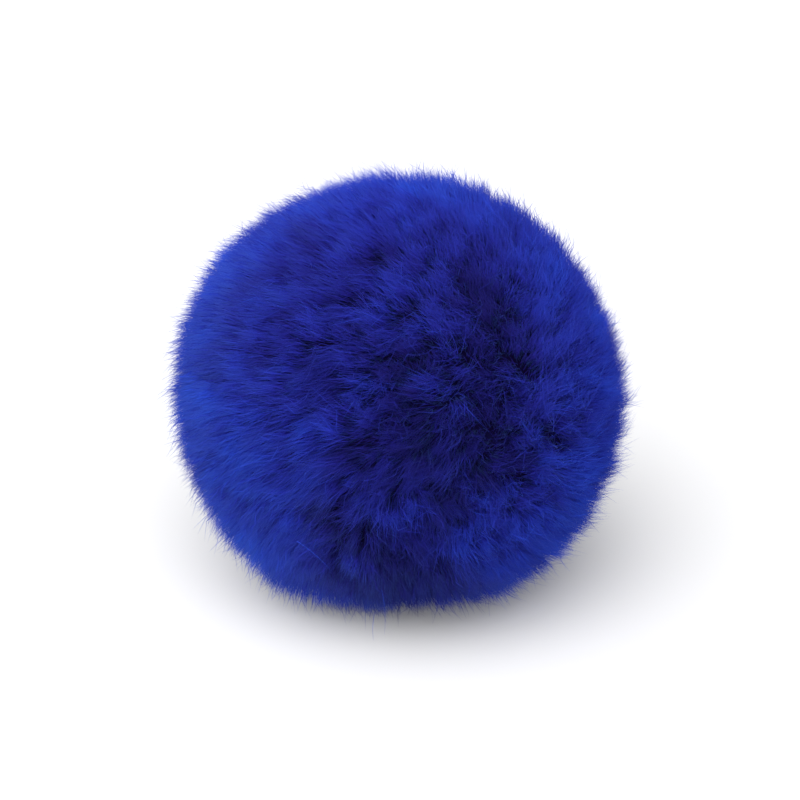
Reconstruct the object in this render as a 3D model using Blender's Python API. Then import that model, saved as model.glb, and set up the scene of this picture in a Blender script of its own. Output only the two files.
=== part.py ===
"""Fur pom pom: a soft ball of long pile, resting on its own flattened locks.

Metres, +Z up. The floor is z = 0 and the front of the ball faces -Y. The ball is one solid: a backing
ball whose surface grows a lock of fur from each of its cells. The locks are joined only at their roots.
"""

import math
import random
from collections import namedtuple

import bmesh
import bpy
from mathutils import Vector

# Driving dimensions
WIDTH = 0.080  # across the tips of the locks
SQUATNESS = 0.95  # height over width, before the floor flattens the underside
REST_SPOT_R = 0.012  # radius of the flat spot
BACKING_R = 0.0310  # backing ball, where the locks part
LOCK_COUNT = 300
LEAN = 0.14  # how far the combed tips lean, as a share of their distance from the centre
LEAN_SPREAD = 0.030  # how far one tip strays from its neighbours, as the same share
LENGTH_SPREAD = 0.0012  # how much longer or shorter than its neighbours a lock may be
CLEARANCE = 0.0004  # between the floor and a lock that doesn't rest on it
SHORTENING = 0.97  # cuts back, step by step, a lock that would reach the floor beside the flat spot
SEED = 8

TIP_R = WIDTH / 2
CENTRE_Z = TIP_R * SQUATNESS * math.sqrt(1 - (REST_SPOT_R / TIP_R) ** 2)

# The pile is combed round a whorl, low at the front and a little to the right of the middle.
WHORL_TURN = math.radians(18.5)  # round from the front towards the right
WHORL_RISE = math.radians(-25)  # above the level of the centre
WHORL_SWIRL = math.radians(78)  # how far the pile turns aside from running straight away from the whorl

# A lock from its root to just below its tip: how far out along the pile, how much of its cell it
# fills, and how much of the tip's lean it already has.
Section = namedtuple("Section", "reach fill lean")
SECTIONS = (
    Section(reach=0.00, fill=0.86, lean=0.00),
    Section(reach=0.30, fill=0.86, lean=0.08),
    Section(reach=0.58, fill=0.72, lean=0.32),
    Section(reach=0.80, fill=0.46, lean=0.62),
)
FOOT_FILL = 0.62  # the level end of a lock that rests on the floor

# Tufts that stand higher than the rest, and hollows, by degrees round from the front to the right and
# degrees above level, with how far they stand out and over how many degrees they fade.
Lump = namedtuple("Lump", "turn rise height spread")
LUMPS = (
    Lump(turn=172, rise=60, height=0.0010, spread=22),
    Lump(turn=-106, rise=31, height=0.0012, spread=24),
    Lump(turn=-92, rise=-6, height=0.0007, spread=18),
    Lump(turn=128, rise=58, height=0.0005, spread=14),
    Lump(turn=100, rise=20, height=-0.0004, spread=12),
    Lump(turn=80, rise=-8, height=0.0005, spread=16),
    Lump(turn=60, rise=-46, height=0.0024, spread=26),
    Lump(turn=-58, rise=-48, height=0.0022, spread=24),
    Lump(turn=-24, rise=-38, height=-0.0022, spread=13),
    Lump(turn=-12, rise=-21, height=-0.0020, spread=11),
    Lump(turn=-32, rise=-22, height=0.0012, spread=9),
    Lump(turn=18, rise=4, height=-0.0016, spread=13),
    Lump(turn=42, rise=12, height=0.0010, spread=10),
    Lump(turn=-160, rise=-10, height=0.0009, spread=24),
    Lump(turn=140, rise=5, height=-0.0010, spread=20),
)

FUR_BLUE = (0.020, 0.036, 0.400, 1.0)


def clear_scene():
    for obj in list(bpy.data.objects):
        bpy.data.objects.remove(obj)


def direction(turn, rise):
    """The unit vector that many radians round from the front to the right, and above level."""
    level = math.cos(rise)
    return Vector((level * math.sin(turn), -level * math.cos(turn), math.sin(rise)))


def even_directions(count):
    """Unit vectors spread evenly over a ball along a spiral, from its top to its bottom."""
    golden_turn = math.pi * (3 - math.sqrt(5))
    places = ((index * golden_turn, math.asin(1 - (2 * index + 1) / count)) for index in range(count))
    return [direction(turn, rise) for turn, rise in places]


def cell_ball():
    """A closed ball of triangles, one for each lock, with its corners at distance 1."""
    ball = bmesh.new()
    for way in even_directions(LOCK_COUNT // 2 + 2):
        ball.verts.new(way)
    bmesh.ops.convex_hull(ball, input=ball.verts)
    bmesh.ops.recalc_face_normals(ball, faces=ball.faces)
    return ball


def tip_radius(way):
    """How far the pile reaches in this direction, with the ball's tufts and hollows."""
    reach = TIP_R
    for lump in LUMPS:
        middle = direction(math.radians(lump.turn), math.radians(lump.rise))
        reach += lump.height * math.exp(-((way.angle(middle) / math.radians(lump.spread)) ** 2))
    return reach


def combed(way):
    """The lean of the pile in this direction: along the ball, round the whorl and a little away from it."""
    whorl = direction(WHORL_TURN, WHORL_RISE)
    away = way * whorl.dot(way) - whorl
    around = whorl.cross(way)
    return LEAN * (math.cos(WHORL_SWIRL) * away + math.sin(WHORL_SWIRL) * around)


def in_place(point):
    """A point of the round ball about the origin, moved to the squat ball above the floor."""
    return Vector((point.x, point.y, point.z * SQUATNESS + CENTRE_Z))


def floor_under(way):
    """Where a line from the middle of the ball, in a direction that points down, meets the floor."""
    middle = in_place(Vector())
    towards = in_place(way) - middle
    return middle - towards * (middle.z / towards.z)


class Lock:
    """The rings of corners and the tip of the lock that grows from one cell."""

    def __init__(self, corners, dice):
        self.corners = corners
        self.way = sum(corners, Vector()) / len(corners)
        outward = self.way.normalized()
        stray = Vector((dice.uniform(-1, 1) for _ in range(3))) * LEAN_SPREAD
        self.lean = combed(outward) + stray - outward * stray.dot(outward)
        self.length = tip_radius(outward) + dice.uniform(-1, 1) * LENGTH_SPREAD - BACKING_R
        self.rests = self.way.z < 0 and self.foot().xy.length < REST_SPOT_R
        while not self.rests and self.lowest() < CLEARANCE:
            self.length *= SHORTENING

    def ring(self, section):
        """The corners of the lock at one of its sections."""
        radius = BACKING_R + self.length * section.reach
        middle = self.way + self.lean * section.lean
        return [
            in_place(radius * (middle + section.fill * (corner - self.way))) for corner in self.corners
        ]

    def tip(self):
        return in_place((BACKING_R + self.length) * (self.way + self.lean))

    def lowest(self):
        points = [point for section in SECTIONS for point in self.ring(section)]
        return min(point.z for point in [*points, self.tip()])

    def foot(self):
        """Where the lock meets the floor, straight out through its leaning tip."""
        return floor_under(self.way + self.lean)

    def resting_ring(self, section):
        """The corners of a lock that the floor shortens, turning level as they near the floor."""
        root = in_place(BACKING_R * self.way)
        straight = floor_under(self.way)
        middle = root.lerp(straight, section.reach) + (self.foot() - straight) * section.lean
        radius = BACKING_R + (straight - root).length * section.reach
        points = []
        for corner in self.corners:
            offset = radius * section.fill * (corner - self.way)
            offset.z *= SQUATNESS * (1 - section.reach)
            points.append(middle + offset)
        return points

    def rings(self):
        if self.rests:
            return [self.resting_ring(section) for section in SECTIONS] + [
                self.resting_ring(Section(reach=1, fill=FOOT_FILL, lean=1))
            ]
        return [self.ring(section) for section in SECTIONS]


def place_corners(face, points):
    for vertex, point in zip(face.verts, points):
        vertex.co = point


def grow(ball, face, lock):
    """Draws a cell's face out through the rings of its lock, and brings a free lock to a point."""
    root, *others = lock.rings()
    place_corners(face, root)
    for ring in others:
        face = bmesh.ops.extrude_discrete_faces(ball, faces=[face])["faces"][0]
        place_corners(face, ring)
    if not lock.rests:
        point = bmesh.ops.poke(ball, faces=[face])["verts"][0]
        point.co = lock.tip()


def fur_ball():
    """The whole pom pom as one closed mesh, with the middle of its box above the origin."""
    dice = random.Random(SEED)
    ball = cell_ball()
    cells = list(ball.faces)
    locks = [Lock([vertex.co.copy() for vertex in cell.verts], dice) for cell in cells]
    bmesh.ops.inset_individual(ball, faces=cells, thickness=0.01, use_even_offset=True)
    cell_corners = {vertex for cell in cells for vertex in cell.verts}
    for vertex in ball.verts:
        if vertex not in cell_corners:
            vertex.co = in_place(vertex.co * BACKING_R)
    for cell, lock in zip(cells, locks):
        grow(ball, cell, lock)
    for axis in (0, 1):
        places = [vertex.co[axis] for vertex in ball.verts]
        middle = (min(places) + max(places)) / 2
        for vertex in ball.verts:
            vertex.co[axis] -= middle
    return ball


def fur_material():
    material = bpy.data.materials.new("fur")
    material.use_nodes = True
    shader = material.node_tree.nodes["Principled BSDF"]
    shader.inputs["Base Color"].default_value = FUR_BLUE
    shader.inputs["Roughness"].default_value = 0.9
    shader.inputs["Metallic"].default_value = 0.0
    return material


def build():
    clear_scene()
    mesh = bpy.data.meshes.new("fur_pompom")
    ball = fur_ball()
    ball.to_mesh(mesh)
    ball.free()
    mesh.shade_smooth()
    mesh.set_sharp_from_angle(angle=math.radians(50))
    mesh.materials.append(fur_material())
    pompom = bpy.data.objects.new("fur_pompom", mesh)
    bpy.context.scene.collection.objects.link(pompom)


build()
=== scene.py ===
"""Fur pom pom, dressed: matted underfur, four coats of combed pile, a fringe, guard hairs and stray hairs.

Metres, +Z up, the floor at z = 0, the front of the ball towards -Y, as in the frame.
"""

import math
from collections import namedtuple

import bmesh
import bpy
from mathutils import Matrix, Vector, noise


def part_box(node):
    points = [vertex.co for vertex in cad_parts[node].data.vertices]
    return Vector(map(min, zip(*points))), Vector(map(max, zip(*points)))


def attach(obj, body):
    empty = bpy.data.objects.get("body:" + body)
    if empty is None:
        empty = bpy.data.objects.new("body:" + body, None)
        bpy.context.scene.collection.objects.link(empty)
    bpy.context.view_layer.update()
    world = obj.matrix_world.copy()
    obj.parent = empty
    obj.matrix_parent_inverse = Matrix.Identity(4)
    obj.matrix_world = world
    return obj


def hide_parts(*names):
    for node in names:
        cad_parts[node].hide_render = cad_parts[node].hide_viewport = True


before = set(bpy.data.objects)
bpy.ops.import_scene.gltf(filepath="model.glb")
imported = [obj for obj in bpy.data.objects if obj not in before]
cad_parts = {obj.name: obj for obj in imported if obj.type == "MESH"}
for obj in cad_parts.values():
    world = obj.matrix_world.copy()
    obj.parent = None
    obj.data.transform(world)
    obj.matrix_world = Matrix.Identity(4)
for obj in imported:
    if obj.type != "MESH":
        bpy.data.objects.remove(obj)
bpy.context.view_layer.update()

NODE = "fur_pompom"
BODY = "root"

# ---------------------------------------------------------------- sizes, worked out from the frame

SQUATNESS = 0.95  # height over width, before the floor flattens the underside
PILE_R = 0.0395  # how far the pile reaches from the middle, on average
TOP_TUFT = 0.0006  # how far the solid's highest tuft stands past the pile's average reach
MIDDLE_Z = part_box(NODE)[1].z - PILE_R * SQUATNESS - TOP_TUFT
FLOOR_GAP = 0.0002  # between the floor and the tips above it
LOWEST = 0.0001  # nothing of a hair is lower than this
LEAST_FALL = 0.01  # a hair that falls less than this for its length is far from reaching the floor

# The whorl that the pile is combed round, in degrees round from the front to the right and above level.
WHORL_TURN = 18.5
WHORL_RISE = -25
WHORL_SWIRL = 78  # how far the pile turns aside from running straight away from the whorl
LEAN = 0.11  # how far the combed tips lean, as a share of their distance from the middle

# Tufts that stand higher than the rest, and hollows, in degrees round from the front to the right and degrees
# above level: over how many degrees they fade, how far they stand out, and how strongly the pile parts from
# the spot, or with a minus draws towards it.
Lump = namedtuple("Lump", "turn rise spread height parting")
LUMPS = (
    Lump(turn=172, rise=60, spread=22, height=0.0010, parting=0.0),
    Lump(turn=-106, rise=31, spread=24, height=0.0012, parting=0.0),
    Lump(turn=-92, rise=-6, spread=18, height=0.0007, parting=0.0),
    Lump(turn=128, rise=58, spread=14, height=0.0005, parting=0.0),
    Lump(turn=100, rise=20, spread=12, height=-0.0008, parting=0.0),
    Lump(turn=80, rise=-8, spread=16, height=0.0004, parting=0.0),
    Lump(turn=60, rise=-46, spread=26, height=0.0018, parting=0.0),
    Lump(turn=-58, rise=-48, spread=24, height=0.0027, parting=0.0),
    Lump(turn=-24, rise=-38, spread=13, height=-0.0020, parting=0.0),
    Lump(turn=-1, rise=-24, spread=6, height=-0.0024, parting=0.5),
    Lump(turn=-9, rise=-19, spread=6, height=-0.0022, parting=0.5),
    Lump(turn=-16, rise=-10, spread=6, height=-0.0022, parting=0.5),
    Lump(turn=-30, rise=-24, spread=9, height=0.0012, parting=-0.2),
    Lump(turn=14, rise=1, spread=6, height=-0.0018, parting=0.5),
    Lump(turn=24, rise=20, spread=7, height=-0.0018, parting=0.4),
    Lump(turn=28, rise=3, spread=6, height=-0.0016, parting=0.5),
    Lump(turn=8, rise=16, spread=6, height=-0.0014, parting=0.4),
    Lump(turn=4, rise=28, spread=5, height=-0.0014, parting=0.4),
    Lump(turn=42, rise=12, spread=9, height=0.0010, parting=-0.2),
    Lump(turn=5, rise=-66, spread=13, height=-0.0024, parting=0.0),
    Lump(turn=0, rise=-90, spread=26, height=0.0026, parting=0.0),
    Lump(turn=-160, rise=-10, spread=24, height=0.0009, parting=0.0),
    Lump(turn=140, rise=5, spread=20, height=-0.0010, parting=0.0),
)

# Places where the hairs are coloured paler, or with a minus darker: painted light and shade that make the
# ball darker under it and across the middle of its front and paler on its left side, and paler and darker
# tufts.
Patch = namedtuple("Patch", "turn rise spread amount")
PAINTED_LIGHT_AND_TUFT_PATCHES = (
    Patch(turn=18, rise=21, spread=34, amount=-0.16),
    Patch(turn=40, rise=43, spread=20, amount=-0.36),
    Patch(turn=-31, rise=56, spread=20, amount=-0.28),
    Patch(turn=3, rise=-3, spread=18, amount=-0.14),
    Patch(turn=-44, rise=-6, spread=22, amount=0.11),
    Patch(turn=-67, rise=10, spread=22, amount=0.11),
    Patch(turn=68, rise=34, spread=16, amount=0.20),
    Patch(turn=0, rise=-50, spread=26, amount=-0.44),
    Patch(turn=0, rise=-38, spread=14, amount=-0.20),
    Patch(turn=4, rise=50, spread=10, amount=0.24),
    Patch(turn=-11, rise=40, spread=9, amount=-0.20),
    Patch(turn=-6, rise=28, spread=5, amount=0.28),
    Patch(turn=4, rise=28, spread=5, amount=-0.46),
    Patch(turn=15, rise=27, spread=5, amount=0.34),
    Patch(turn=13, rise=13, spread=8, amount=-0.34),
    Patch(turn=-5, rise=10, spread=8, amount=-0.18),
    Patch(turn=31, rise=10, spread=10, amount=-0.24),
    Patch(turn=44, rise=-1, spread=8, amount=0.34),
    Patch(turn=-15, rise=-6, spread=8, amount=-0.24),
    Patch(turn=-26, rise=-26, spread=7, amount=-0.20),
    Patch(turn=-16, rise=-25, spread=6, amount=0.24),
    Patch(turn=14, rise=-23, spread=7, amount=0.22),
)

# Where the tufts are most ruffled, and how ruffled they are everywhere.
RUFFLED = Patch(turn=19, rise=12, spread=44, amount=1.0)
RUFFLED_EVERYWHERE = 0.38

# Hairs gather round middles spread over the ball, in four sizes from wide tufts to fine wisps. For each size:
# how many there are over the ball, how strongly tips draw together, how far each one strays, how much its
# length varies, how much its hairs shorten away from its middle, and how much its shade varies.
Gathering = namedtuple("Gathering", "count gather stray length dome shade seed")
GATHERINGS = (
    Gathering(count=300, gather=0.10, stray=0.025, length=0.0006, dome=0.0, shade=0.14, seed=21),
    Gathering(count=1400, gather=0.26, stray=0.055, length=0.0006, dome=0.0010, shade=0.10, seed=22),
    Gathering(count=6000, gather=0.22, stray=0.035, length=0.0004, dome=0.0004, shade=0.06, seed=23),
    Gathering(count=18000, gather=0.24, stray=0.015, length=0.0002, dome=0.0, shade=0.03, seed=24),
)
GATHERING_JITTER = 0.7  # how unevenly gatherings are spread, as a share of the space between two

# The hairs of a gathering stand as a dome. It has fallen by its whole height where the square of the distance
# from its middle, times the count, is DOME_SPREAD. DOME_LIFT is the share of its height that its middle has
# above the hairs' plain length.
DOME_SPREAD = 6
DOME_LIFT = 0.3

# Added to a seed, so that each draw gets chances of its own.
LENGTH_DRAW = 10
SHADE_DRAW = 20
HAIR_SHADE_DRAW = 50
HAIR_PHASE_DRAW = 60

# A coat of hairs: how many, in how many sections, how far from the middle they start and end, how uneven
# their length is, how thick they are at the root, how far they stray, how much they curl, how far they join
# the tufts, how much paler than the rest they are, and their dye with its painted shade.
Coat = namedtuple("Coat", "name hairs sections root tip spread radius stray curl tufting shade seed dye")
COATS = (
    Coat(
        name="pile_deep", hairs=32000, sections=1, root=0.0300, tip=0.0368, spread=0.0009, radius=0.00016,
        stray=0.030, curl=0.0, tufting=0.5, shade=0.0, seed=11, dye="fur_deep",
    ),
    Coat(
        name="pile_a", hairs=48000, sections=1, root=0.0310, tip=0.0380, spread=0.0009, radius=0.00009,
        stray=0.025, curl=0.0, tufting=1.0, shade=0.0, seed=12, dye="fur_pile",
    ),
    Coat(
        name="pile_b", hairs=48000, sections=1, root=0.0320, tip=0.0383, spread=0.0009, radius=0.00008,
        stray=0.030, curl=0.0, tufting=1.0, shade=0.0, seed=13, dye="fur_pile",
    ),
    Coat(
        name="pile_c", hairs=48000, sections=1, root=0.0330, tip=0.0385, spread=0.0010, radius=0.00008,
        stray=0.035, curl=0.0, tufting=1.0, shade=0.0, seed=14, dye="fur_pile",
    ),
    Coat(
        name="fringe", hairs=19000, sections=2, root=0.0335, tip=0.0390, spread=0.0012, radius=0.00007,
        stray=0.040, curl=0.0004, tufting=1.7, shade=0.02, seed=15, dye="fur_pile",
    ),
    Coat(
        name="guard_hairs", hairs=4000, sections=3, root=0.0335, tip=0.0400, spread=0.0014, radius=0.00007,
        stray=0.070, curl=0.0012, tufting=1.0, shade=0.11, seed=16, dye="fur_pile",
    ),
)
HAIR_JITTER = 0.6  # how unevenly hairs are spread, as a share of the space between two
HAIR_SHADE = 0.02  # how much a single hair's shade varies
BEND = 0.55  # how far along a hair it stands straight out before it leans
CURL_TURN = 5.0  # radians that a curl turns from root to tip

# Single long hairs that have come loose at the front: where they start and end, in metres, how far they bow
# aside and how thick they are at the start.
Stray = namedtuple("Stray", "start end bow radius")
STRAYS = (
    Stray(start=(-0.0032, -0.0275, 0.0140), end=(-0.0026, -0.0284, 0.0046), bow=0.0004, radius=0.00005),
    Stray(start=(-0.0042, -0.0262, 0.0080), end=(-0.0044, -0.0276, 0.0034), bow=-0.0002, radius=0.00005),
    Stray(start=(-0.0162, -0.0350, 0.0262), end=(-0.0106, -0.0356, 0.0208), bow=0.0003, radius=0.00004),
)
STRAY_RINGS = 6
STRAY_SHADE = 0.7
STRAY_ROWS = (0.95, 0.96)  # of the map, where hairs have the colour of their tips

# The ball of matted roots, and the swells of its surface.
UNDERFUR_R = 0.0335
Swell = namedtuple("Swell", "fineness height")
SWELLS = (Swell(fineness=9, height=0.0006), Swell(fineness=30, height=0.0003))

# ---------------------------------------------------------------- colours

# Blue of a hair at its root, halfway and at its tip, as linear red, green and blue: the fur's own blue, with
# painted shade that makes it darker towards the root and in the deep coat, for the shade deep in the pile.
Dye = namedtuple("Dye", "name root middle tip")
DYES_AND_SHADES = (
    Dye(
        name="fur_deep", root=(0.004, 0.002, 0.034), middle=(0.0097, 0.0087, 0.179),
        tip=(0.0121, 0.0165, 0.257),
    ),
    Dye(
        name="fur_pile", root=(0.005, 0.003, 0.058), middle=(0.0118, 0.0135, 0.254),
        tip=(0.0143, 0.029, 0.323),
    ),
)
ROOT_TO_MIDDLE = (0.2, 0.6)  # where along a hair its colour turns from the root's to the middle's
MIDDLE_TO_TIP = (0.45, 0.85)
# Near-black blue of the matted roots: their own dark blue, painted darker still as the shade deep under the
# pile.
PAINTED_SHADE_ROOTS = (0.003, 0.002, 0.018)
PILE_CONTRAST = 0.7  # how much darker or paler than plain the darkest and the palest hairs are
ROOTS_CONTRAST = 0.6
HUE_SHIFT = 0.45  # dark hairs lean towards violet and pale ones away from it, as a share of red and green
PAINTED_SHADE_OF_RISE = 120  # painted shade: hollows are coloured darker and standing tufts paler, the change of shade for a metre of height
PLAIN_SHADE = 0.5  # halfway from the darkest hairs, 0, to the palest, 1
MOTTLE_FINENESS = 900
MOTTLE_DETAIL = 3
BUMP_STRENGTH = 0.6
BUMP_HEIGHT = 0.0005

# The map that a hair's colour is read from: across it the shade, and up it from root to tip.
CHART = "OFBake"
CHART_WIDTH = 0.00125  # of a hair, on either side of its own shade
CHART_EDGE = 0.01  # kept free on either side of the map
CHART_SLANT = 0.5  # sets a hair's corners apart across the map
CHART_ROOT = 0.02
ROOT_SLANT = 0.01  # sets the corners of a root apart up the map
CHART_TIP = 0.96

HAIR_ROUGHNESS = 0.55
HAIR_SPECULAR = 0.05
SHEEN = 0.2
SHEEN_ROUGHNESS = 0.5
SHEEN_TINT = (0.12, 0.24, 1.0)
MATTED_ROUGHNESS = 0.9

# ---------------------------------------------------------------- floor, light and camera

FLOOR_HALF = 6.0
FLOOR_GREY = (0.60, 0.60, 0.61)
FLOOR_ROUGHNESS = 0.9
FLOOR_SPECULAR = 0.1
TENT_BACK = 0.3  # brightness of the studio's walls
TENT_FRONT = 3.0
TENT_TURN = -25  # where the walls are brightest, in degrees
TENT_RISE = 28
TENT_EDGE = -0.25  # cosine of the angle from there at which the walls are as dark as at the back
KEY_TURN = -14  # the large soft light, above the camera and a little to its left
KEY_RISE = 50
KEY_AWAY = 0.9
KEY_SIZE = 0.8
KEY_POWER = 6.0
CAMERA_RISE = 25  # degrees above level
CAMERA_LENS = 100.0
CAMERA_NEAR = 0.01
SENSOR = 36.0
PIXELS = 800
BALL_PIXELS = 464  # across the tips, in the photograph's 800 pixel frame
BALL_PIXEL = (400, 391)  # the middle of the ball there


def direction(turn, rise):
    """The unit vector that many degrees round from the front to the right, and above level."""
    turn, rise = math.radians(turn), math.radians(rise)
    return Vector((math.cos(rise) * math.sin(turn), -math.cos(rise) * math.cos(turn), math.sin(rise)))


# ---------------------------------------------------------------- building node trees

class Tree:
    """A node group under construction: sockets by name, and short calls for sums on numbers and vectors."""

    def __init__(self, name, kind="GeometryNodeTree"):
        self.group = bpy.data.node_groups.new(name, kind)
        self.entry = self.group.nodes.new("NodeGroupInput")
        self.exit = self.group.nodes.new("NodeGroupOutput")

    def takes(self, **sockets):
        """Adds named inputs: Name=(kind, default)."""
        for name, (kind, default) in sockets.items():
            made = self.group.interface.new_socket(
                name=name.replace("_", " "), in_out="INPUT", socket_type="NodeSocket" + kind
            )
            if default is not None:
                made.default_value = default

    def gives(self, **sockets):
        """Adds named outputs and links them: Name=(kind, socket)."""
        for name, (kind, socket) in sockets.items():
            name = name.replace("_", " ")
            self.group.interface.new_socket(name=name, in_out="OUTPUT", socket_type="NodeSocket" + kind)
            self.group.links.new(socket, self.exit.inputs[name])

    def given(self, name):
        return self.entry.outputs[name]

    def node(self, kind, settings=None, **inputs):
        """A node with its settings made and its inputs set or linked by name. Underscores are spaces."""
        made = self.group.nodes.new(kind)
        for name, value in (settings or {}).items():
            setattr(made, name, value)
        for name, value in inputs.items():
            self.feed(made, name.replace("_", " "), value)
        return made

    def feed(self, node, name, value):
        socket = next(s for s in node.inputs if s.name == name and s.enabled)
        self.put(socket, value)

    def put(self, socket, value):
        if isinstance(value, bpy.types.NodeSocket):
            self.group.links.new(value, socket)
        else:
            socket.default_value = value

    def out(self, node, name=None):
        return next(s for s in node.outputs if s.enabled and name in (None, s.name))

    def number(self, operation, *values):
        made = self.group.nodes.new("ShaderNodeMath")
        made.operation = operation
        for socket, value in zip(made.inputs, values):
            self.put(socket, value)
        return made.outputs[0]

    def vector(self, operation, *values, scale=None):
        made = self.group.nodes.new("ShaderNodeVectorMath")
        made.operation = operation
        for socket, value in zip(made.inputs, values):
            self.put(socket, value)
        if scale is not None:
            self.put(made.inputs["Scale"], scale)
        return made.outputs["Value" if operation in ("DOT_PRODUCT", "LENGTH") else "Vector"]

    def total(self, *vectors):
        result = vectors[0]
        for other in vectors[1:]:
            result = self.vector("ADD", result, other)
        return result

    def joined(self, x, y, z):
        return self.out(self.node("ShaderNodeCombineXYZ", X=x, Y=y, Z=z))

    def parts(self, vector):
        return self.node("ShaderNodeSeparateXYZ", Vector=vector).outputs

    def chance(self, seed, place=None):
        """A number from -1 to 1 for each element, or for each value of place."""
        return self.random("FLOAT", -1.0, 1.0, seed, place)

    def chance_way(self, seed, place=None):
        """A vector with each part from -1 to 1."""
        return self.random("FLOAT_VECTOR", (-1, -1, -1), (1, 1, 1), seed, place)

    def random(self, kind, low, high, seed, place):
        made = self.node("FunctionNodeRandomValue", {"data_type": kind}, Min=low, Max=high, Seed=seed)
        if place is not None:
            self.feed(made, "ID", place)
        return self.out(made)

    def position(self):
        return self.out(self.node("GeometryNodeInputPosition"))

    def kept(self, name, kind="FLOAT_VECTOR"):
        """Reads an attribute kept on the geometry."""
        return self.out(self.node("GeometryNodeInputNamedAttribute", {"data_type": kind}, Name=name))

    def keep(self, geometry, name, value, kind="FLOAT_VECTOR", domain="POINT"):
        """Writes an attribute on the geometry."""
        made = self.node(
            "GeometryNodeStoreNamedAttribute",
            {"data_type": kind, "domain": domain},
            Geometry=geometry, Name=name, Value=value,
        )
        return self.out(made)


# ---------------------------------------------------------------- the ball's even spread, comb and outline

def even_ball():
    """Points spread evenly over the unit ball along a spiral from top to bottom."""
    tree = Tree("Even ball")
    tree.takes(Count=("Int", 100), Jitter=("Float", 0.0), Seed=("Int", 0))
    count = tree.given("Count")
    index = tree.out(tree.node("GeometryNodeInputIndex"))
    height = tree.number("SUBTRACT", 1.0, tree.number(
        "DIVIDE", tree.number("ADD", tree.number("MULTIPLY", index, 2.0), 1.0), count))
    turn = tree.number("MULTIPLY", index, math.pi * (3 - math.sqrt(5)))
    level = tree.number("SQRT", tree.number("SUBTRACT", 1.0, tree.number("MULTIPLY", height, height)))
    way = tree.joined(
        tree.number("MULTIPLY", level, tree.number("SINE", turn)),
        tree.number("MULTIPLY", tree.number("MULTIPLY", level, tree.number("COSINE", turn)), -1.0),
        height,
    )
    spacing = tree.number("SQRT", tree.number("DIVIDE", 4 * math.pi, count))
    step = tree.number("MULTIPLY", spacing, tree.given("Jitter"))
    stray = tree.vector("SCALE", tree.chance_way(tree.given("Seed")), scale=step)
    points = tree.node("GeometryNodePoints", Count=count)
    moved = tree.node(
        "GeometryNodeSetPosition", Geometry=tree.out(points),
        Position=tree.vector("NORMALIZE", tree.total(way, stray)),
    )
    tree.gives(Points=("Geometry", tree.out(moved)))
    return tree.group


def comb():
    """The pile's lean, outline height, ruffle and shade, with painted light and shade, in any direction."""
    tree = Tree("Comb and outline")
    tree.takes(Way=("Vector", None))
    way = tree.given("Way")
    whorl = direction(WHORL_TURN, WHORL_RISE)
    swirl = math.radians(WHORL_SWIRL)
    along = tree.vector("SCALE", way, scale=tree.vector("DOT_PRODUCT", way, whorl))
    away = tree.vector("SUBTRACT", along, whorl)
    around = tree.vector("CROSS_PRODUCT", whorl, way)
    lean = tree.total(
        tree.vector("SCALE", away, scale=LEAN * math.cos(swirl)),
        tree.vector("SCALE", around, scale=LEAN * math.sin(swirl)),
    )

    def share(spot):
        """How much of a spot's effect is felt here: all at its middle, fading all round."""
        apart = tree.number("SUBTRACT", 1.0, tree.vector(
            "DOT_PRODUCT", way, direction(spot.turn, spot.rise)))
        return tree.number("EXPONENT", tree.number(
            "MULTIPLY", apart, -2 / math.radians(spot.spread) ** 2))

    rise = 0.0
    for lump in LUMPS:
        felt = share(lump)
        rise = tree.number("MULTIPLY_ADD", felt, lump.height, rise)
        if lump.parting:
            apart = tree.vector("SUBTRACT", way, direction(lump.turn, lump.rise))
            lean = tree.total(lean, tree.vector("SCALE", apart, scale=tree.number(
                "MULTIPLY", felt, lump.parting)))
    # Painted shade: the pile is coloured darker where it sinks into hollows and paler where it stands out,
    # and the patches paint more light and shade.
    shade = tree.number("MULTIPLY_ADD", rise, PAINTED_SHADE_OF_RISE, PLAIN_SHADE)
    for patch in PAINTED_LIGHT_AND_TUFT_PATCHES:
        shade = tree.number("MULTIPLY_ADD", share(patch), patch.amount, shade)
    ruffle = tree.number("MULTIPLY_ADD", share(RUFFLED), RUFFLED.amount, RUFFLED_EVERYWHERE)
    tree.gives(
        Lean=("Vector", lean), Rise=("Float", rise), Ruffle=("Float", ruffle), Shade=("Float", shade))
    return tree.group


# ---------------------------------------------------------------- one coat of hairs

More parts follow.
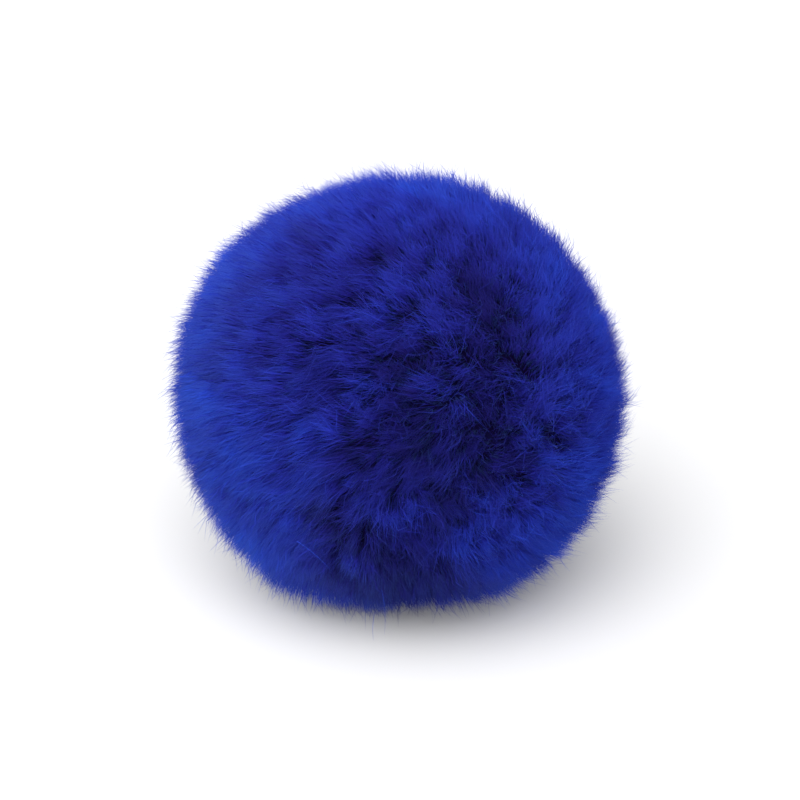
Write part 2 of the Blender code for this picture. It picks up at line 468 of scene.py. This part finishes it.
def comb_hairs(tree, even, combing):
    """The coat's hairs as points, each with the root, bend and tip of its curve and its shade kept on it."""
    seed = tree.given("Seed")

    def spread(count, jitter, seed):
        return tree.out(tree.node(
            "GeometryNodeGroup", {"node_tree": even}, Count=count, Jitter=jitter, Seed=seed))

    def nearest(places, way):
        """The index and the direction of the place nearest to each hair."""
        index = tree.out(tree.node("GeometryNodeSampleNearest", Geometry=places, Sample_Position=way))
        found = tree.node(
            "GeometryNodeSampleIndex", {"data_type": "FLOAT_VECTOR"},
            Geometry=places, Value=tree.position(), Index=index,
        )
        return index, tree.out(found)

    hairs = spread(tree.given("Hairs"), HAIR_JITTER, seed)
    way = tree.position()
    combed = tree.node("GeometryNodeGroup", {"node_tree": combing}, Way=way)
    lean = tree.total(
        combed.outputs["Lean"],
        tree.vector("SCALE", tree.chance_way(seed), scale=tree.given("Stray")),
    )
    length = tree.number("ADD", tree.given("Tip"), combed.outputs["Rise"])
    length = tree.number("MULTIPLY_ADD", tree.chance(seed), tree.given("Spread"), length)
    shade = tree.number("ADD", combed.outputs["Shade"], tree.given("Shade"))
    own = tree.chance(tree.number("ADD", seed, HAIR_SHADE_DRAW))
    shade = tree.number("MULTIPLY_ADD", own, HAIR_SHADE, shade)
    ruffle = tree.number("MULTIPLY", combed.outputs["Ruffle"], tree.given("Tufting"))
    for level in GATHERINGS:
        index, middle = nearest(spread(level.count, GATHERING_JITTER, level.seed), way)
        inward = tree.vector("SUBTRACT", middle, way)
        pull = tree.vector("SCALE", inward, scale=tree.number("MULTIPLY", ruffle, level.gather))
        stray = tree.vector("SCALE", tree.chance_way(level.seed, index), scale=tree.number(
            "MULTIPLY", ruffle, level.stray))
        lean = tree.total(lean, pull, stray)
        swing = tree.number("MULTIPLY", ruffle, tree.chance(level.seed + LENGTH_DRAW, index))
        length = tree.number("MULTIPLY_ADD", swing, level.length, length)
        swing = tree.chance(level.seed + SHADE_DRAW, index)
        shade = tree.number("MULTIPLY_ADD", swing, level.shade, shade)
        if level.dome:
            apart = tree.vector("DOT_PRODUCT", inward, inward)
            apart = tree.number("MULTIPLY", apart, level.count / DOME_SPREAD)
            edge = tree.number("MULTIPLY", ruffle, tree.number("SUBTRACT", apart, DOME_LIFT))
            length = tree.number("MULTIPLY_ADD", edge, -level.dome, length)
            # Painted shade: the shorter hairs at a gathering's edge are coloured darker, as the shade between
            # tufts, and those at its middle paler.
            shade = tree.number("MULTIPLY_ADD", edge, -level.dome * PAINTED_SHADE_OF_RISE, shade)

    # A hair that points down is cut short by the floor.
    towards = tree.vector("NORMALIZE", tree.total(way, lean))
    down = tree.number("MULTIPLY", tree.parts(towards)["Z"], -SQUATNESS)
    down = tree.number("MAXIMUM", down, LEAST_FALL)
    length = tree.number("MINIMUM", length, tree.number("DIVIDE", MIDDLE_Z - FLOOR_GAP, down))
    tip = tree.vector("SCALE", towards, scale=length)
    root = tree.vector("SCALE", way, scale=tree.given("Root"))
    rise = tree.number("MULTIPLY", tree.number("SUBTRACT", length, tree.given("Root")), BEND)
    bend = tree.total(root, tree.vector("SCALE", way, scale=rise))
    for name, value in (("root", root), ("bend", bend), ("tip", tip)):
        hairs = tree.keep(hairs, name, value)
    hairs = tree.keep(hairs, "shade", shade, "FLOAT")
    return tree.keep(hairs, "phase", tree.chance(tree.number("ADD", seed, HAIR_PHASE_DRAW)), "FLOAT")


def coat_tree(even, combing):
    """Hairs on the ball: closed three-sided spikes, rooted in the underfur and bent towards their tips."""
    tree = Tree("Coat of pile")
    tree.takes(
        Hairs=("Int", 1000), Sections=("Int", 2), Root=("Float", 0.03), Tip=("Float", 0.04),
        Spread=("Float", 0.001), Radius=("Float", 0.0002), Stray=("Float", 0.02), Curl=("Float", 0.0),
        Tufting=("Float", 1.0), Shade=("Float", 0.0), Seed=("Int", 0), Material=("Material", None),
    )
    hairs = comb_hairs(tree, even, combing)

    # The spike that each hair starts as: its length runs from 0 to 1 along z.
    spike = tree.node(
        "GeometryNodeMeshCone", {"fill_type": "NGON"}, Vertices=3, Side_Segments=tree.given("Sections"),
        Fill_Segments=1, Radius_Top=0.0, Radius_Bottom=1.0, Depth=1.0,
    )
    spike = tree.keep(tree.out(spike, "Mesh"), "spike", tree.position())
    whole = tree.node("GeometryNodeInstanceOnPoints", Points=hairs, Instance=spike)
    whole = tree.out(tree.node("GeometryNodeRealizeInstances", Geometry=tree.out(whole)))

    # Each spike is laid along its hair's curve. It keeps most of its thickness until close to its tip.
    x, y, along = tree.parts(tree.kept("spike"))
    left = tree.number("SUBTRACT", 1.0, along)
    x = tree.number("DIVIDE", x, left)
    y = tree.number("DIVIDE", y, left)
    root, bend, tip = (tree.kept(name) for name in ("root", "bend", "tip"))
    run = tree.vector("NORMALIZE", tree.vector("SUBTRACT", tip, root))
    side = tree.vector("NORMALIZE", tree.vector("CROSS_PRODUCT", run, direction(WHORL_TURN, WHORL_RISE)))
    up = tree.vector("CROSS_PRODUCT", run, side)
    taper = tree.number("MULTIPLY", tree.given("Radius"), tree.number("SQRT", left))
    phase = tree.number("MULTIPLY", tree.kept("phase", "FLOAT"), math.pi)
    wave = tree.number("MULTIPLY", tree.given("Curl"), along)
    turn = tree.number("MULTIPLY_ADD", along, CURL_TURN, phase)
    across = tree.number("MULTIPLY_ADD", x, taper, tree.number("MULTIPLY", wave, tree.number("SINE", turn)))
    raised = tree.number("MULTIPLY_ADD", y, taper, tree.number("MULTIPLY", wave, tree.number("COSINE", turn)))
    place = tree.total(
        tree.vector("SCALE", root, scale=tree.number("MULTIPLY", left, left)),
        tree.vector("SCALE", bend, scale=tree.number(
            "MULTIPLY", tree.number("MULTIPLY", left, along), 2.0)),
        tree.vector("SCALE", tip, scale=tree.number("MULTIPLY", along, along)),
        tree.vector("SCALE", side, scale=across),
        tree.vector("SCALE", up, scale=raised),
    )
    px, py, pz = tree.parts(place)
    pz = tree.number("MAXIMUM", LOWEST, tree.number("MULTIPLY_ADD", pz, SQUATNESS, MIDDLE_Z))
    whole = tree.node("GeometryNodeSetPosition", Geometry=whole, Position=tree.joined(px, py, pz))

    aside = tree.number("MULTIPLY_ADD", y, CHART_SLANT, x)
    column = tree.number("MULTIPLY_ADD", aside, CHART_WIDTH, tree.kept("shade", "FLOAT"))
    column = tree.number("MINIMUM", 1 - CHART_EDGE, tree.number("MAXIMUM", CHART_EDGE, column))
    foot = tree.number("MULTIPLY", tree.number("MULTIPLY_ADD", y, ROOT_SLANT, CHART_ROOT), left)
    chart = tree.joined(column, tree.number("MULTIPLY_ADD", along, CHART_TIP, foot), 0.0)
    whole = tree.keep(tree.out(whole), CHART, chart, "FLOAT2", "CORNER")
    for name in ("root", "bend", "tip", "spike", "shade", "phase"):
        whole = tree.out(tree.node("GeometryNodeRemoveAttribute", Geometry=whole, Name=name))
    smooth = tree.node("GeometryNodeSetShadeSmooth", Geometry=whole)
    finish = tree.node(
        "GeometryNodeSetMaterial", Geometry=tree.out(smooth), Material=tree.given("Material"))
    tree.gives(Geometry=("Geometry", tree.out(finish)))
    return tree.group


def grown(name, group, **inputs):
    """The tree's result as a plain mesh object."""
    host = bpy.data.objects.new(name + "_host", bpy.data.meshes.new(name + "_host"))
    bpy.context.scene.collection.objects.link(host)
    modifier = host.modifiers.new("Pile", "NODES")
    modifier.node_group = group
    sockets = {item.name: item.identifier for item in group.interface.items_tree if item.in_out == "INPUT"}
    for key, value in inputs.items():
        modifier[sockets[key]] = value
    graph = bpy.context.evaluated_depsgraph_get()
    mesh = bpy.data.meshes.new_from_object(host.evaluated_get(graph))
    bpy.data.objects.remove(host)
    mesh.name = name
    piece = bpy.data.objects.new(name, mesh)
    bpy.context.scene.collection.objects.link(piece)
    return piece


# ---------------------------------------------------------------- materials

def pile_colour():
    """Shared effect: the pile's blue from root to tip and by its shade, both carrying painted light and
    shade.
    """
    tree = Tree("Pile colour", "ShaderNodeTree")
    tree.takes(
        Along=("Float", 1.0), Shade=("Float", PLAIN_SHADE), Root=("Color", (0, 0, 0, 1)),
        Middle=("Color", (0, 0, 0, 1)), Tip=("Color", (0, 0, 0, 1)), Contrast=("Float", 0.5),
    )

    def turned(reach, before, after):
        """The colour before that reach of the hair, turning smoothly into the colour after it."""
        low, high = reach
        share = tree.node(
            "ShaderNodeMapRange", {"interpolation_type": "SMOOTHSTEP"},
            Value=tree.given("Along"), From_Min=low, From_Max=high,
        )
        mix = tree.node(
            "ShaderNodeMix", {"data_type": "RGBA"}, Factor=tree.out(share), A=before, B=after)
        return tree.out(mix)

    body = turned(ROOT_TO_MIDDLE, tree.given("Root"), tree.given("Middle"))
    ends = turned(MIDDLE_TO_TIP, body, tree.given("Tip"))
    swing = tree.number("MULTIPLY", tree.number("SUBTRACT", tree.given("Shade"), PLAIN_SHADE), 2.0)
    gain = tree.number("MULTIPLY_ADD", swing, tree.given("Contrast"), 1.0)
    red = tree.number("MULTIPLY_ADD", swing, -HUE_SHIFT, 1.0)
    green = tree.number("MULTIPLY_ADD", swing, HUE_SHIFT, 1.0)
    tinted = tree.vector("MULTIPLY", ends, tree.joined(red, green, 1.0))
    shaded = tree.vector("SCALE", tinted, scale=gain)
    tree.gives(Colour=("Color", shaded))
    return tree.group


def fur_material(dye, colour):
    """Long soft matt hairs, painted darker at their roots as shade, with a faint blue sheen."""
    material = bpy.data.materials.new(dye.name)
    material.use_nodes = True
    nodes, links = material.node_tree.nodes, material.node_tree.links
    shader = nodes["Principled BSDF"]
    chart = nodes.new("ShaderNodeUVMap")
    chart.uv_map = CHART
    split = nodes.new("ShaderNodeSeparateXYZ")
    links.new(chart.outputs["UV"], split.inputs[0])
    blue = nodes.new("ShaderNodeGroup")
    blue.node_tree = colour
    links.new(split.outputs["X"], blue.inputs["Shade"])
    links.new(split.outputs["Y"], blue.inputs["Along"])
    blue.inputs["Root"].default_value = (*dye.root, 1)
    blue.inputs["Middle"].default_value = (*dye.middle, 1)
    blue.inputs["Tip"].default_value = (*dye.tip, 1)
    blue.inputs["Contrast"].default_value = PILE_CONTRAST
    links.new(blue.outputs["Colour"], shader.inputs["Base Color"])
    shader.inputs["Roughness"].default_value = HAIR_ROUGHNESS
    shader.inputs["Specular IOR Level"].default_value = HAIR_SPECULAR
    shader.inputs["Sheen Weight"].default_value = SHEEN
    shader.inputs["Sheen Roughness"].default_value = SHEEN_ROUGHNESS
    shader.inputs["Sheen Tint"].default_value = (*SHEEN_TINT, 1)
    return material


def underfur_material(colour):
    """Roots of the pile: near-black blue, their own dark blue painted darker still as the shade deep under
    the pile, mottled.
    """
    material = bpy.data.materials.new("underfur")
    material.use_nodes = True
    nodes, links = material.node_tree.nodes, material.node_tree.links
    shader = nodes["Principled BSDF"]
    where = nodes.new("ShaderNodeTexCoord")
    mottle = nodes.new("ShaderNodeTexNoise")
    mottle.inputs["Scale"].default_value = MOTTLE_FINENESS
    mottle.inputs["Detail"].default_value = MOTTLE_DETAIL
    links.new(where.outputs["Object"], mottle.inputs["Vector"])
    blue = nodes.new("ShaderNodeGroup")
    blue.node_tree = colour
    blue.inputs["Along"].default_value = 0.0
    blue.inputs["Root"].default_value = (*PAINTED_SHADE_ROOTS, 1)
    blue.inputs["Contrast"].default_value = ROOTS_CONTRAST
    links.new(mottle.outputs["Fac"], blue.inputs["Shade"])
    links.new(blue.outputs["Colour"], shader.inputs["Base Color"])
    bump = nodes.new("ShaderNodeBump")
    bump.inputs["Strength"].default_value = BUMP_STRENGTH
    bump.inputs["Distance"].default_value = BUMP_HEIGHT
    links.new(mottle.outputs["Fac"], bump.inputs["Height"])
    links.new(bump.outputs["Normal"], shader.inputs["Normal"])
    shader.inputs["Roughness"].default_value = MATTED_ROUGHNESS
    shader.inputs["Specular IOR Level"].default_value = 0.0
    return material


# ---------------------------------------------------------------- pieces

def modelled(name, shape, material):
    """The shape as a smooth mesh object with its material."""
    mesh = bpy.data.meshes.new(name)
    shape.to_mesh(mesh)
    shape.free()
    mesh.shade_smooth()
    mesh.materials.append(material)
    piece = bpy.data.objects.new(name, mesh)
    bpy.context.scene.collection.objects.link(piece)
    return piece


def underfur(material):
    """The closed ball of matted roots under the pile, a little uneven."""
    ball = bmesh.new()
    bmesh.ops.create_icosphere(ball, subdivisions=5, radius=1.0)
    for vertex in ball.verts:
        way = vertex.co.normalized()
        radius = UNDERFUR_R
        for swell in SWELLS:
            radius += swell.height * noise.noise(way * swell.fineness)
        vertex.co = Vector((way.x * radius, way.y * radius, way.z * radius * SQUATNESS + MIDDLE_Z))
    return modelled("underfur", ball, material)


def stray_hairs(material):
    """Closed three-sided hairs, each bowed aside between its two ends and tapering to a point."""
    hairs = bmesh.new()
    chart = hairs.loops.layers.uv.new(CHART)
    sides = ((0, 1), (1, 2), (2, 0))
    for stray in STRAYS:
        start, end = Vector(stray.start), Vector(stray.end)
        run = (end - start).normalized()
        side = run.cross(Vector((0, 1, 0))).normalized()
        up = run.cross(side)
        rings = []
        for index in range(STRAY_RINGS):
            along = index / STRAY_RINGS
            middle = start.lerp(end, along) + side * stray.bow * 4 * along * (1 - along)
            radius = stray.radius * math.sqrt(1 - along)
            rings.append([
                hairs.verts.new(middle + radius * (side * math.cos(turn) + up * math.sin(turn)))
                for turn in (0, math.tau / 3, 2 * math.tau / 3)
            ])
        tip = hairs.verts.new(end)
        hairs.faces.new(reversed(rings[0]))
        for lower, upper in zip(rings, rings[1:]):
            for a, b in sides:
                hairs.faces.new((lower[a], lower[b], upper[b], upper[a]))
        for a, b in sides:
            hairs.faces.new((rings[-1][a], rings[-1][b], tip))
    # Every face takes the colour of a pale hair's tip, from one small spot of the map.
    for face in hairs.faces:
        for corner, loop in enumerate(face.loops):
            loop[chart].uv = (STRAY_SHADE + CHART_WIDTH * (corner % 2), STRAY_ROWS[corner // 2])
    return modelled("stray_hairs", hairs, material)


def dress():
    """Makes every piece of the pom pom, and says what it rides on and replaces."""
    colour = pile_colour()
    dyed_shaded = {dye.name: fur_material(dye, colour) for dye in DYES_AND_SHADES}
    group = coat_tree(even_ball(), comb())
    pieces = [underfur(underfur_material(colour)), stray_hairs(dyed_shaded["fur_pile"])]
    for coat in COATS:
        pieces.append(grown(
            coat.name, group, Hairs=coat.hairs, Sections=coat.sections, Root=coat.root, Tip=coat.tip,
            Spread=coat.spread, Radius=coat.radius, Stray=coat.stray, Curl=coat.curl,
            Tufting=coat.tufting, Shade=coat.shade, Seed=coat.seed, Material=dyed_shaded[coat.dye],
        ))
    for piece in pieces:
        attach(piece, BODY)
        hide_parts(NODE)


# ---------------------------------------------------------------- studio

def floor():
    """The wide matt grey floor of the studio, at z = 0."""
    mesh = bpy.data.meshes.new("floor")
    corners = [(x * FLOOR_HALF, y * FLOOR_HALF, 0) for x, y in ((-1, -1), (1, -1), (1, 1), (-1, 1))]
    mesh.from_pydata(corners, [], [(0, 1, 2, 3)])
    plane = bpy.data.objects.new("floor", mesh)
    bpy.context.scene.collection.objects.link(plane)
    material = bpy.data.materials.new("floor")
    material.use_nodes = True
    shader = material.node_tree.nodes["Principled BSDF"]
    shader.inputs["Base Color"].default_value = (*FLOOR_GREY, 1)
    shader.inputs["Roughness"].default_value = FLOOR_ROUGHNESS
    shader.inputs["Specular IOR Level"].default_value = FLOOR_SPECULAR
    mesh.materials.append(material)


def key_light():
    """The large soft light, aimed at the middle of the ball."""
    lamp = bpy.data.lights.new("key", "AREA")
    lamp.shape = "DISK"
    lamp.size = KEY_SIZE
    lamp.energy = KEY_POWER
    middle = Vector((0, 0, MIDDLE_Z))
    away = direction(KEY_TURN, KEY_RISE)
    light = bpy.data.objects.new("key", lamp)
    light.location = middle + away * KEY_AWAY
    light.rotation_euler = (-away).to_track_quat("-Z", "Y").to_euler()
    bpy.context.scene.collection.objects.link(light)


def tent():
    """White studio walls all round the ball, brightest in front, to the left of the camera."""
    world = bpy.data.worlds.new("tent")
    world.use_nodes = True
    nodes, links = world.node_tree.nodes, world.node_tree.links
    where = nodes.new("ShaderNodeTexCoord")
    facing = nodes.new("ShaderNodeVectorMath")
    facing.operation = "DOT_PRODUCT"
    facing.inputs[1].default_value = direction(TENT_TURN, TENT_RISE)
    walls = nodes.new("ShaderNodeMapRange")
    walls.inputs["From Min"].default_value = TENT_EDGE
    walls.inputs["From Max"].default_value = 1.0
    walls.inputs["To Min"].default_value = TENT_BACK
    walls.inputs["To Max"].default_value = TENT_FRONT
    links.new(where.outputs["Generated"], facing.inputs[0])
    links.new(facing.outputs["Value"], walls.inputs["Value"])
    links.new(walls.outputs["Result"], nodes["Background"].inputs["Strength"])
    nodes["Background"].inputs["Color"].default_value = (1, 1, 1, 1)
    bpy.context.scene.world = world


def camera():
    """The photograph's view: the ball is as wide as there, with its middle at the same pixel."""
    data = bpy.data.cameras.new("camera")
    data.lens = CAMERA_LENS
    data.sensor_width = SENSOR
    distance = 2 * PILE_R * CAMERA_LENS / SENSOR * PIXELS / BALL_PIXELS
    rise = math.radians(CAMERA_RISE)
    back = Vector((0, -math.cos(rise), math.sin(rise)))
    obj = bpy.data.objects.new("camera", data)
    obj.location = Vector((0, 0, MIDDLE_Z)) + back * distance
    obj.rotation_euler = (-back).to_track_quat("-Z", "Y").to_euler()
    data.shift_x = (PIXELS / 2 - BALL_PIXEL[0]) / PIXELS
    data.shift_y = (BALL_PIXEL[1] - PIXELS / 2) / PIXELS
    data.clip_start = CAMERA_NEAR
    bpy.context.scene.collection.objects.link(obj)
    bpy.context.scene.camera = obj


camera()
dress()
floor()
tent()
key_light()
bpy.context.scene.view_settings.view_transform = "Standard"
